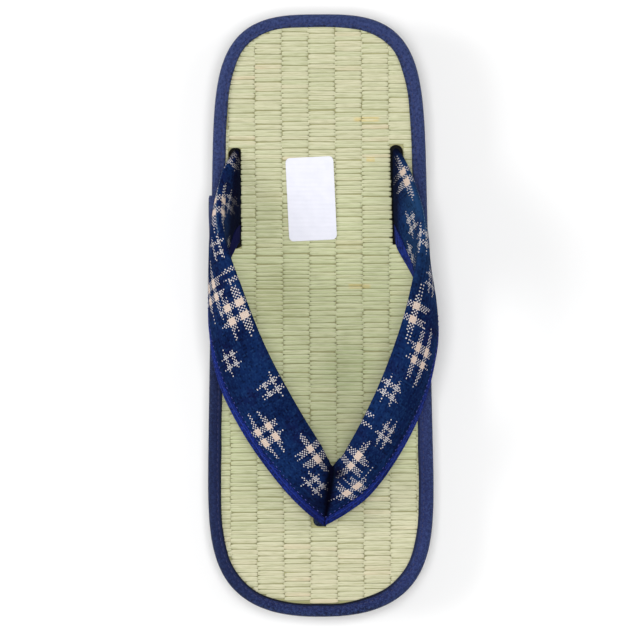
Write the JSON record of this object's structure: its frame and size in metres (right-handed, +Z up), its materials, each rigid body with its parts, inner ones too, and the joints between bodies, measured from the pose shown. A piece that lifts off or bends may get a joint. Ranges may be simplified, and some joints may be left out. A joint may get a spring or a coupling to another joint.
{
  "type": "zori sandal",
  "caption": "Flat thong sandal: woven rush footbed bound in navy cloth, padded indigo cloth strap with pale woven marks on a toe post, sponge sole.",
  "frame": {"origin": "middle of the sole's flat underside, on the floor", "axes": "+Z up through the footbed, -Y towards the toe, +Y towards the heel, X across the sole"},
  "size_m": [0.1016, 0.265, 0.0528],
  "materials": {
    "sponge": "matt closed-cell sponge rubber",
    "rush": "woven rush, satin",
    "binding": "plain navy cotton tape",
    "strap_cloth": "indigo cotton with pale ikat marks",
    "edging": "royal blue cotton tape",
    "post_cloth": "plain navy cotton",
    "label": "blank coated paper"
  },
  "bodies": {
    "root": {"outsole": "sponge", "footbed": "rush", "edge_binding": "binding", "strap": "strap_cloth", "strap_edging": "edging", "toe_post": "post_cloth"}
  },
  "joints": []
}
